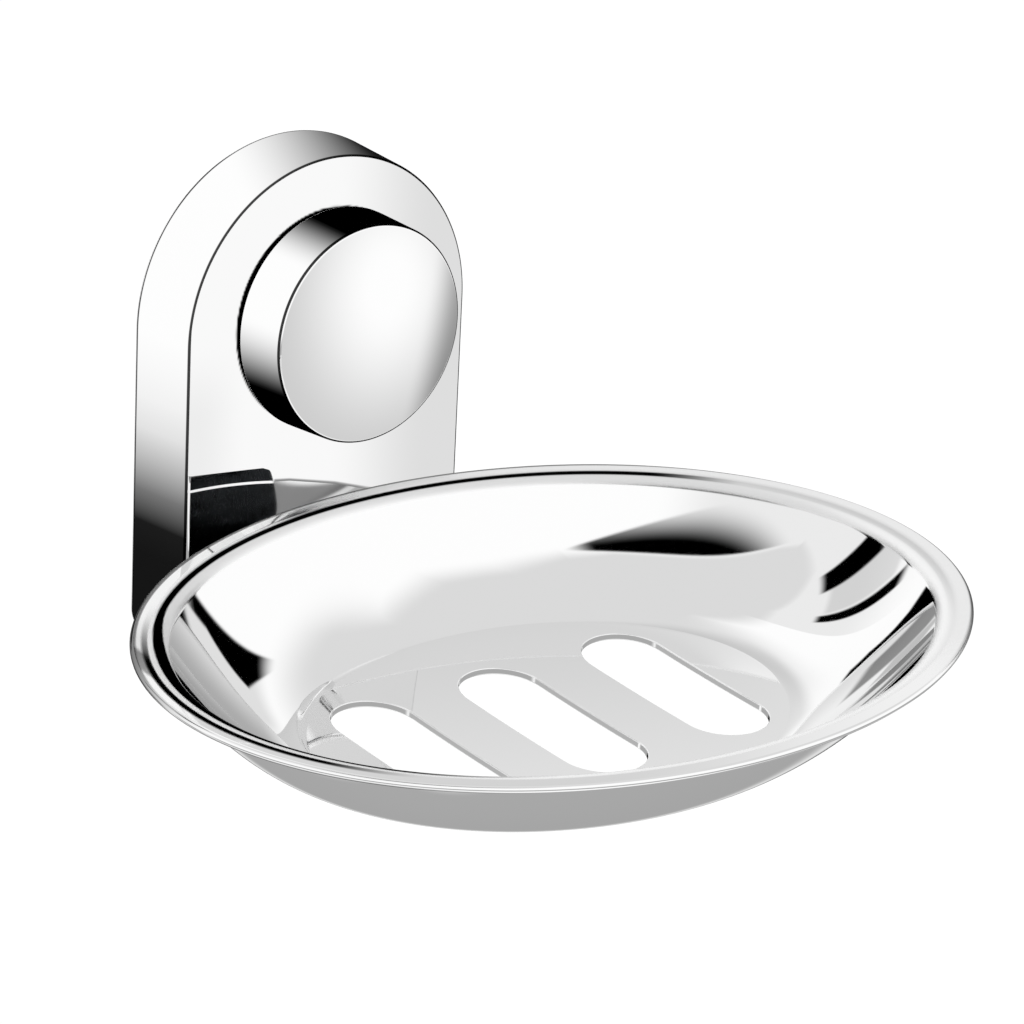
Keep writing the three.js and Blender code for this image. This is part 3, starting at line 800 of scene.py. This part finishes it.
def under_floor(radius):
    """Middle of the strip under the floor at a radius towards the wall, as Y and Z."""
    level = -DISH_DEPTH - FLOOR_SAG * (1 - (radius / FLOOR_HALF) ** 2)
    slope = 2 * FLOOR_SAG * radius / FLOOR_HALF**2
    down = unit(np.stack([slope, -np.ones_like(radius)], axis=-1))
    line = np.stack([radius, level], axis=-1) + down * (SHEET + STRIP / 2 + 0.3)
    return line @ tilt[1:, 1:].T + DISH_PLACE[1:]


cradle = under_floor(np.linspace(30.0, 24.5, 8))
leg_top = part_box("dish_bracket")[1].z / MM
line, line_ways = rounded_path(
    [(-LEG_FROM_WALL, leg_top, 0), (-LEG_FROM_WALL, cradle[0, 1], BEND), (*cradle[0], 0)], steps=14
)
line = np.concatenate([line, cradle[1:]])
line_ways = np.concatenate([line_ways, unit(np.gradient(cradle, axis=0))[1:]])
corner_angles = np.linspace(0, math.pi / 2, 6)
quarter = np.stack([np.cos(corner_angles), np.sin(corner_angles)], axis=1)
turns = [quarter, quarter[::-1] * [-1, 1], -quarter, quarter[::-1] * [1, -1]]
section_out = np.concatenate(turns)
section_signs = np.concatenate([np.sign(t.sum(axis=0, keepdims=True)) + 0 * t for t in turns])
shrink = STRIP_EDGE * (1 - np.cos(corner_angles))
reach = STRIP_EDGE * np.sin(corner_angles)


def strip_rings(middles, forward, shrinks, leans):
    """The rounded section across a line: X is its width, and its thickness lies across the line.
    A lean turns the normals from the section's own direction to the line's."""
    side = np.stack([0 * forward[:, 0], -forward[:, 1], forward[:, 0]], axis=1)
    ahead = np.stack([0 * forward[:, 0], forward[:, 0], forward[:, 1]], axis=1)
    half = np.array([BRACKET_HALF, STRIP / 2]) - STRIP_EDGE
    radius = (STRIP_EDGE - shrinks)[:, None, None]
    flat = section_signs * half + radius * section_out
    wide = np.array([1.0, 0.0, 0.0])
    centre = np.stack([0 * middles[:, 0], middles[:, 0], middles[:, 1]], axis=1)[:, None]
    places = centre + flat[..., :1] * wide + flat[..., 1:] * side[:, None]
    out = section_out[:, :1] * wide + section_out[None, :, 1:] * side[:, None]
    lean = leans[:, None, None]
    return places, unit(np.cos(lean) * out + np.sin(lean) * ahead[:, None])


first = np.repeat(line_ways[:1], 6, axis=0)
last = np.repeat(line_ways[-1:], 6, axis=0)
start_middles = line[0] + first * (STRIP_EDGE - reach[::-1, None])
end_middles = line[-1] - last * (STRIP_EDGE - reach[:, None])
inner_line = slice(1, -1)
strip, strip_normals = strip_rings(
    np.concatenate([start_middles, line[inner_line], end_middles]),
    np.concatenate([first, line_ways[inner_line], last]),
    np.concatenate([shrink[::-1], 0 * line[inner_line, 0], shrink]),
    np.concatenate([-corner_angles[::-1], 0 * line[inner_line, 0], corner_angles]),
)
first_cap, last_cap = (
    ring.mean(axis=1, keepdims=True) + 0 * ring for ring in (strip[:1], strip[-1:])
)
strip = np.concatenate([first_cap, strip, last_cap])
strip_normals = np.concatenate([strip_normals[:1], strip_normals, strip_normals[-1:]])
# The strip's near black colour is painted shade.
make_piece(
    "dish_bracket_strip",
    [grid_patch(strip, strip_normals)],
    painted_shade_steel,
    "holder",
    ["dish_bracket"],
)

# %% [markdown]
# ## Nuts and bumpers
# A nut's corners are turned off by a cone before it is threaded, so its outline is a hexagon
# inside the corner circle only in its middle. The radius in each direction is the smaller of
# the hexagon's and the cone's. The wall bumpers are rubber buttons with rounded edges.


# %% Nuts and bumpers
def nut_patch(box, bore, chamfer=0.5):
    """A nut in a CAD node's box, turned about Y. Its radius is the smaller of the hexagon's and
    the cone's."""
    low, high = (np.array(corner) / MM for corner in box)
    centre, back, front = (low + high) / 2, -high[1], -low[1]
    flat = min(high[2] - low[2], high[0] - low[0]) / 2
    angle = np.linspace(0, 2 * math.pi, 96, endpoint=False)
    corner_x = (high[0] - low[0]) > (high[2] - low[2])
    phase = 0 if corner_x else math.pi / 6
    folded = (angle - phase) % (math.pi / 3) - math.pi / 6
    hexagon = flat / np.cos(folded)
    depth = np.array([0, 0, 0.25, 0.5, 1.0])[:, None] * chamfer
    cone = flat * 0.97 + depth * 1.6
    outer = np.minimum(hexagon, np.where(depth < chamfer, cone, 99))
    distances = np.concatenate([back + depth[:, 0], front - depth[::-1, 0]])
    radii = np.concatenate([outer, outer[::-1]])
    radii[0] = radii[-1] = bore
    radii = np.concatenate([radii, radii[:1]])
    distances = np.append(distances, distances[0])
    around = np.stack([np.cos(angle), np.sin(angle)], axis=1)
    flat_places = radii[..., None] * around
    across, up = flat_places[..., 0] + centre[0], flat_places[..., 1] + centre[2]
    places = np.stack([across, -distances[:, None] + 0 * radii, up], axis=-1)
    onward = np.roll(places, -1, axis=1) - np.roll(places, 1, axis=1)
    return grid_patch(places, unit(np.cross(onward, np.gradient(places, axis=0))))


def smooth_by_angle(piece, degrees=35):
    """Plain smooth shading with the edges sharper than an angle kept sharp, for faceted pieces."""
    mesh = piece.data
    if mesh.attributes.get("custom_normal"):
        mesh.attributes.remove(mesh.attributes["custom_normal"])
    mesh.set_sharp_from_angle(angle=math.radians(degrees))


for i in (1, 2):
    nut = make_piece(
        f"bracket_nut_{i}_chamfered",
        [nut_patch(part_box(f"bracket_nut_{i}"), 2.1)],
        zinc_steel,
        "holder",
        [f"bracket_nut_{i}"],
    )
    smooth_by_angle(nut)
    low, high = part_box(f"wall_bumper_{i}")
    middle = (low + high) / 2 / MM
    button, button_ways = rounded_path([(0, 0, 0), (4.5, 0, 0.6), (4.5, 3.3, 0.3), (0, 3.3, 0)])
    make_piece(
        f"wall_bumper_{i}_button",
        [turned_patch(button, button_ways, 64, middle.x, middle.z)],
        black_rubber,
        "holder",
        [f"wall_bumper_{i}"],
    )

# %% [markdown]
# ## The pieces that keep their CAD solids
# Their shapes are right as they are. A narrow bevel takes the knife edge off the frame, the
# screws and the knob's inner parts, and their finishes follow the record's slots.

# %% Finishes of the CAD solids
FINISHES = {
    "back_frame": (grey_abs, 0.25),
    "knob_core": (grey_abs, 0.2),
    "thrust_washer": (natural_nylon, 0.1),
    "knob_nut": (turned_brass, 0.25),
    "knob_clip": (zinc_steel, 0.1),
    "draw_stud": (zinc_steel, 0.2),
    **{f"frame_screw_{i}": (zinc_steel, 0.08) for i in (1, 2, 3, 4)},
    **{f"bracket_screw_{i}": (zinc_steel, 0.1) for i in (1, 2)},
}
for name, (material, bevel) in FINISHES.items():
    node = nodes[name]
    node.data.materials.clear()
    node.data.materials.append(material)
    weld_points = node.modifiers.new("weld", "WELD")
    weld_points.merge_threshold = 0.002 * MM
    rounding_off = node.modifiers.new("edge", "BEVEL")
    rounding_off.width, rounding_off.segments = bevel * MM, 2
    rounding_off.limit_method, rounding_off.angle_limit = "ANGLE", math.radians(40)
    rounding_off.harden_normals = False
print(f"{len(FINISHES)} CAD solids dressed")

# %% [markdown]
# ## The studio
# Chrome has no colour of its own and shows the room. So the room is built as a photographer
# builds it for chrome: a white tent all round, with black and grey cloths on it that draw the
# dark bands. The tent is a sphere that only mirrors see. Its tone is a formula of the
# direction: white, times one less than each cloth's cover. A cloth is a patch of directions,
# in degrees round from the front towards the right and up from the horizon, with soft edges.
#
# The first mirror on a ray's way sees one set of cloths and later mirrors see another. No real
# tent can do that: it is a trick that brings the reflections near those in the photograph.

# %% Tent
TENT_RADIUS, TENT_LIGHT = 1.6, 1.06
AFTER_FIRST_MIRROR = 1.5
turn_grid, lift_grid = np.meshgrid(np.arange(-180, 180, 0.5), np.arange(-90, 90.1, 0.5))


def mirrors_only(thing):
    """Leaves an object to be seen by mirrors and by nothing else."""
    thing.visible_camera = thing.visible_diffuse = thing.visible_shadow = False
    thing.visible_transmission = thing.visible_volume_scatter = False


def cloth(turns, lifts, cover=1.0):
    """Cover of a cloth: it begins and ends softly between outer and inner turns and lifts. Turns
    count on past 180 where a cloth hangs across the back."""
    round_from = (turn_grid - turns[0]) % 360
    start, inner, end = (turn - turns[0] for turn in turns[1:])
    across = ramp(round_from, 0, start) * ramp(round_from, end, inner)
    upward = ramp(lift_grid, lifts[0], lifts[1]) * ramp(lift_grid, lifts[3], lifts[2])
    return cover * across * upward


# The crescent hangs high in front, over the left. Its upper edge is a parabola of the turn, its
# lower edge is sharp, and it fades to the left.
crescent_top = 63.3 - 0.0045 * (turn_grid + 52) ** 2
crescent = (
    ramp(turn_grid + 4.86 * (lift_grid - 52.5), -80, -16)
    * ramp(lift_grid, 46.3, 47.5)
    * ramp(lift_grid, crescent_top + 0.5, crescent_top - 0.5)
    * ramp(turn_grid, 9, -1)
)
# Overhead the tent is light grey. The grey comes down to the right.
GREY_TURNS = (-160, -126, -100, 9, 26, 41, 60, 76, 110, 135)
GREY_LIFTS = (62, 50, 51, 45, 40, 33, 36, 38, 42, 64)
grey_from = np.interp(turn_grid, GREY_TURNS, GREY_LIFTS)
at_crescent = (turn_grid > -100) & (turn_grid < 9)
grey_from = np.where(at_crescent, np.maximum(crescent_top - 1, 45), grey_from)
grey_blur = np.interp(turn_grid, (-126, -90, -5, 26), (10, 3, 3, 12))
overhead = np.maximum(
    0.29 * ramp(lift_grid - grey_from, 0, grey_blur),
    0.16 * ramp(turn_grid, -20, -45) * ramp(lift_grid, 16, 44),
)
overhead = np.maximum(overhead, cloth((50, 78, 128, 165), (22, 38, 80, 89), 0.29))
slant = np.minimum(95.5 + 1.05 * np.maximum(lift_grid - 7, 0), 121 - lift_grid)
black_y = (
    ramp(turn_grid, 89.6, 91.2) * ramp(turn_grid, slant + 0.7, slant - 0.7)
    * ramp(lift_grid, 2, 5) * ramp(lift_grid, 26, 20)
)
over_lens = cloth((89.6, 91.2, 112, 120), (-16, -8, 2.2, 3.4))
RIGHT_TURNS, RIGHT_LIFTS = (155, 163, 168, 171, 173, 178), (22, 23.2, 20.9, 16.6, 14.8, 14)
right_edge = np.interp(turn_grid, RIGHT_TURNS, RIGHT_LIFTS)
below_right_edge = ramp(lift_grid, right_edge + 0.7, right_edge - 0.7)
beside_right_lens = below_right_edge * cloth((157, 160, 176, 178), (3, 6, 40, 50))
past_slant = 0.24 * ramp(turn_grid, slant - 0.5, slant + 0.5)
beside_lens = past_slant * cloth((80, 85, 116, 126), (2.2, 3.4, 17, 24))
first_covers = (
    crescent,
    black_y,
    over_lens,
    beside_lens,
    cloth((-125, -108, 110, 122), (-36, -33, -16, -8), 0.6),
    cloth((118, 127, 158, 168), (-36, -28, -12, -4)),
    cloth((150, 155, 205, 214), (-32, -27, -12, -8), 0.6),
    cloth((216, 220, 232, 240), (-60, -50, -22, -19), 0.55),
    beside_right_lens,
    cloth((212, 214, 226, 228), (33, 38, 53, 56)),
    cloth((195, 197, 214, 216), (29, 31, 50, 53), 0.22),
    cloth((189, 190, 194, 195.5), (25, 28, 52, 55)),
    overhead,
    cloth((126, 132, 140, 150), (20, 26, 40, 60), 0.19),
    cloth((30, 70, 170, 185), (-88, -80, -42, -30), 0.6),
)
# The cloths for later mirrors. The grey below has a bent, sharp edge.
from_59 = np.clip(turn_grid, 30, 109) - 59
grey_edge = -38 - 0.69 * from_59 + 0.0069 * from_59**2
lower_grey = (
    ramp(lift_grid, grey_edge + 0.6, grey_edge - 0.6)
    * ramp(turn_grid, 50, 57)
    * ramp(turn_grid, 185, 170)
)
again_covers = (
    0.745 * lower_grey,
    cloth((118, 127, 158, 168), (-36, -28, 0, 24)),
    cloth((40, 95, 106, 118), (-2, 8, 32, 44), 0.52),
    cloth((30, 37, 60, 68), (-46, -40, 34, 40), 0.27),
    cloth((40, 62, 108, 165), (44, 52, 90.5, 91), 0.25),
    cloth((173, 177, 184, 187), (18, 21, 33, 36), 0.4),
    cloth((184, 189, 206, 211), (22, 28, 50, 56), 0.69),
    cloth((180, 220, 330, 360), (25, 45, 75, 88), 0.2),
)
tone, tone_again = (
    np.prod([1 - cover for cover in covers], axis=0) for covers in (first_covers, again_covers)
)
turn_rad, lift_rad = np.radians(turn_grid), np.radians(lift_grid)
level_share = np.cos(lift_rad)
tent_points = TENT_RADIUS * np.stack(
    [np.sin(turn_rad) * level_share, -np.cos(turn_rad) * level_share, np.sin(lift_rad)], axis=-1
)
_, _, tent_faces = grid_patch(tent_points, tent_points)
tent_mesh = bpy.data.meshes.new("tent")
tent_mesh.from_pydata(tent_points.reshape(-1, 3).tolist(), [], tent_faces.tolist())
for key, values in (("tone", tone), ("tone_again", tone_again)):
    set_point_values(tent_mesh, key, values)
tent_mesh.shade_smooth()
tent = new_object("tent", tent_mesh)
tent_cloth = bpy.data.materials.new("tent_cloth")
tent_cloth.use_nodes = True
tree = tent_cloth.node_tree
tree.nodes.clear()
first_tone, again_tone = (point_value(tree, key) for key in ("tone", "tone_again"))
depth = add(tree, "ShaderNodeLightPath").outputs["Ray Depth"]
is_again = combine(tree, "GREATER_THAN", depth, AFTER_FIRST_MIRROR)
both_tones = {"Factor": is_again, "A": first_tone, "B": again_tone}
tent_tone = add(tree, "ShaderNodeMix", both_tones).outputs[0]
glow = add(tree, "ShaderNodeEmission", {"Color": tent_tone, "Strength": TENT_LIGHT})
add(tree, "ShaderNodeOutputMaterial", {"Surface": glow.outputs[0]})
tent_mesh.materials.append(tent_cloth)
mirrors_only(tent)
print(f"tent: mean tone {tone.mean():.2f}")

# %% [markdown]
# ## Cards close to the object
# A photographer also sets small cards close to a part, so that only this part sees them. Here
# five do: one hugs the housing's side and one the knob's, one stands before each face, and a
# narrow strip stands below the card of the housing's face. A ray that leaves the part meets
# the card's back at once, so the card's tone is the part's tone: white that fades to black
# over the top and at the foot, and thin black lines at the edges. A card is clear from its
# front, from farther off, for the camera and for every mirror after the first. No real card
# does that: it is a trick that sets the tone of the part.


# %% Cards
def card(name, grid, tone, away, ring=True):
    """A card from a grid of points, with a tone per point. Its front is turned the way that
    away points, and its back is the side that shows."""
    _, _, faces = grid_patch(grid, grid, ring)
    points = grid.reshape(-1, 3)
    a, b, c = (points[faces[:, i]] for i in (0, 1, 3))
    outward = np.broadcast_to(away, grid.shape).reshape(-1, 3)[faces[:, 0]]
    if np.einsum("ij,ij->i", np.cross(b - a, c - a), outward).sum() < 0:
        faces = faces[:, ::-1]
    mesh = bpy.data.meshes.new(name)
    mesh.from_pydata((points * MM).tolist(), [], faces.tolist())
    set_point_values(mesh, "tone", np.clip(tone, 0, 1))
    mesh.materials.append(card_paper)
    sheet = new_object(name, mesh)
    mirrors_only(sheet)


card_paper = bpy.data.materials.new("card_paper")
card_paper.use_nodes = True
tree = card_paper.node_tree
tree.nodes.clear()
CARD_SIGHT = 3.0
card_tone = point_value(tree, "tone")
on_back = add(tree, "ShaderNodeNewGeometry").outputs["Backfacing"]
depth = add(tree, "ShaderNodeLightPath").outputs["Ray Depth"]
travelled = add(tree, "ShaderNodeLightPath").outputs["Ray Length"]
is_first = combine(tree, "LESS_THAN", depth, AFTER_FIRST_MIRROR)
is_near = combine(tree, "LESS_THAN", travelled, CARD_SIGHT * MM)
shows = combine(tree, "MULTIPLY", combine(tree, "MULTIPLY", is_first, is_near), on_back)
glow = add(tree, "ShaderNodeEmission", {"Color": card_tone, "Strength": TENT_LIGHT})
nothing = add(tree, "ShaderNodeBsdfTransparent")
both = add(tree, "ShaderNodeMixShader", {0: shows, 1: nothing.outputs[0], 2: glow.outputs[0]})
add(tree, "ShaderNodeOutputMaterial", {"Surface": both.outputs[0]})

# %% Cards round the two sides
CARD_GAP = 0.1
distances = np.concatenate(
    [[15.4, 15.0, 14.45, 14.3], np.linspace(14, 2, 10), [1.8, 1.6, 0, -1.5, -3.2]]
)
rings = arch_rings(-CARD_GAP + 0 * distances, distances)
angle = np.degrees(np.arctan2(rings[..., 2] + ARCH_DROP, rings[..., 0])) % 360
angle = angle + 0.9 * (8 - distances[:, None])
over_top = np.where(rings[..., 2] > -ARCH_DROP, ramp(angle, 64, 122) + ramp(angle, 45, 5), 1)
foot = ramp(rings[..., 2], -34.5, -12.5) * (1 - 0.12 * ramp(rings[..., 2], 0, -16))
edge_lines = (ramp(distances, 14.45, 14.3) * ramp(distances, 1.6, 1.8))[:, None]
side_tone = (0.008 + 0.992 * over_top * foot) * (0.05 + 0.95 * edge_lines)
card("housing_side_card", rings, side_tone, rings * [1, 0, 1])

distances = np.array([26.0, 25.6, 25.2, 25.1, 22, 19, 17, 15.2])
angle = np.linspace(0, 2 * math.pi, 180, endpoint=False)
circle = np.stack([np.cos(angle), 0 * angle, np.sin(angle)], axis=1)
taper = (KNOB_BASE - KNOB_RADIUS) * (CAP_FACE - distances) / (CAP_FACE - CAP_BASE)
radii = KNOB_RADIUS + CARD_GAP + taper
rings = radii[:, None, None] * circle - distances[:, None, None] * [0, 1, 0]
round_knob = ramp(np.degrees(angle), 106, 136) * ramp(np.degrees(angle), 206, 168)
edge_line = ramp(distances, 25.2, 25.1)[:, None]
card("knob_side_card", rings, round_knob * (0.04 + 0.96 * edge_line), rings * [1, 0, 1])

# %% Cards before the two faces
radii = np.linspace(0, KNOB_RADIUS - 0.4, 30)
distances = CAP_FACE + CROWN * (1 - (radii / KNOB_RADIUS) ** 2) + CARD_GAP
rings = radii[:, None, None] * circle - distances[:, None, None] * [0, 1, 0]
from_light = np.hypot(rings[..., 0] - 3, 0.8 * (rings[..., 2] - 8))
face_right = ramp(rings[..., 0] - 0.2 * rings[..., 2], 10, 18)
card("knob_face_card", rings, 1 - 0.38 * ramp(from_light, 3, 24) - 0.4 * face_right, [0, -1, 0])

# The foot line: places picked in the photograph and brought to the face's plane by a scratch
# script. Three of them stand as that script printed them.
FOOT_ACROSS = (-28, -16, -13, -11.6, -11.1, -10.8, -7.4, 2.2, 11.5, 28)
FOOT_UP = (-22.7, -23.8, -24.1, -24.7, -25.5, -26.9, -27.4, -29.8, -32.9, -35)


def face_card(name, across, top, foot, tone, rows):
    """An upright card just before the housing's face, between two lines given as heights."""
    share = np.linspace(0, 1, rows)[:, None]
    up = top + share * (foot - top)
    grid = np.stack([across + 0 * up, -FACE_FROM_WALL - CARD_GAP + 0 * up, up], axis=-1)
    card(name, grid, tone(grid[..., 0], grid[..., 2]), [0, -1, 0], ring=False)


def face_tone(x, z):
    """Near white, a little darker to the right and low at the left, and black close to the knob."""
    knob_shadow = ramp(np.hypot(x + 0.5, z - 0.3), 18.65, 18.85)
    over_foot = z - np.interp(x, FOOT_ACROSS, FOOT_UP)
    foot_shadow = 1 - 0.8 * ramp(over_foot, 0.5, 0.2) * ramp(x, -10.9, -10.4) * ramp(x, 20, 6)
    low_left = ramp(x, -16, -27) * ramp(z, 0, -14)
    return knob_shadow * foot_shadow * (0.96 - 0.22 * ramp(x, 0, 22) - 0.1 * low_left)


across = np.linspace(-28.4, 28.4, 200)
foot_line = np.interp(across, FOOT_ACROSS, FOOT_UP)
face_card("housing_face_card", across, 28.0 + 0 * across, foot_line, face_tone, 200)
across = np.linspace(-28.4, -10.6, 40)
strip_top = -25.2 - 0.005 * (across + 28.4) ** 2
face_card("foot_line_card", across, strip_top, strip_top - 0.45, face_tone, 2)

# %% [markdown]
# ## Floor, light and world
# The floor is plain, pale and far enough below that the shadow on it is faint. It gets a
# little light of its own for the camera and in glass, so that it reads as white paper. The
# world is even white light at strength 1, at which a colour renders about as it is written.

# %% Floor and world
FLOOR_LEVEL, FLOOR_REACH, PAPER_GLOW = -0.45, 14.0, 0.14
floor_mesh = bpy.data.meshes.new("floor")
corners = FLOOR_REACH * np.array([[-1, -1], [1, -1], [1, 1], [-1, 1]])
floor_places = np.column_stack([corners, np.full(4, FLOOR_LEVEL)])
floor_mesh.from_pydata(floor_places.tolist(), [], [(0, 1, 2, 3)])
floor = new_object("floor", floor_mesh)
floor.visible_glossy = False
paper, tree, shader = new_material("white_paper_floor", Base_Color=linear("F3F3F3"), Roughness=0.9)
shader.inputs["Specular IOR Level"].default_value = 0.0
path_info = add(tree, "ShaderNodeLightPath").outputs
seen = combine(tree, "MAXIMUM", path_info["Is Camera Ray"], path_info["Is Transmission Ray"])
shader.inputs["Emission Color"].default_value = (1, 1, 1, 1)
tree.links.new(combine(tree, "MULTIPLY", seen, PAPER_GLOW), shader.inputs["Emission Strength"])
floor_mesh.materials.append(paper)

world = bpy.data.worlds.new("studio")
bpy.context.scene.world = world
world.use_nodes = True
world.node_tree.nodes["Background"].inputs["Color"].default_value = (1, 1, 1, 1)
world.node_tree.nodes["Background"].inputs["Strength"].default_value = 1.0

# %% [markdown]
# ## The camera
# The camera stands in front of the dish, to the left of it and above, and is leaned by three
# degrees. Its place, lens and lean were fitted to the rim, the arch, the knob and the slots
# in the photograph.

# %% Camera
AZIMUTH, ELEVATION, ROLL = math.radians(40.53), math.radians(20.26), math.radians(2.9)
TARGET, CAMERA_DISTANCE = Vector((0.04158, -0.015, -0.04268)), 0.76
FOCAL_PIXELS, PICTURE_PIXELS, SENSOR_MM = 4351.4, 1024, 36.0
back = Vector(
    (
        -math.sin(AZIMUTH) * math.cos(ELEVATION),
        -math.cos(AZIMUTH) * math.cos(ELEVATION),
        math.sin(ELEVATION),
    )
)
right = Vector((0, 0, 1)).cross(back).normalized()
upward = back.cross(right)
leaned_right = math.cos(ROLL) * right + math.sin(ROLL) * upward
leaned_up = -math.sin(ROLL) * right + math.cos(ROLL) * upward
lens = bpy.data.cameras.new("camera")
lens.sensor_width, lens.lens = SENSOR_MM, FOCAL_PIXELS / PICTURE_PIXELS * SENSOR_MM
lens.clip_start, lens.clip_end = 0.01, 50
camera = new_object("camera", lens)
axes = Matrix((leaned_right, leaned_up, back)).transposed()
camera.matrix_world = Matrix.Translation(TARGET + CAMERA_DISTANCE * back) @ axes.to_4x4()
bpy.context.scene.camera = camera
bpy.context.scene.view_settings.view_transform = "Standard"
print(f"lens {lens.lens:.1f} mm")
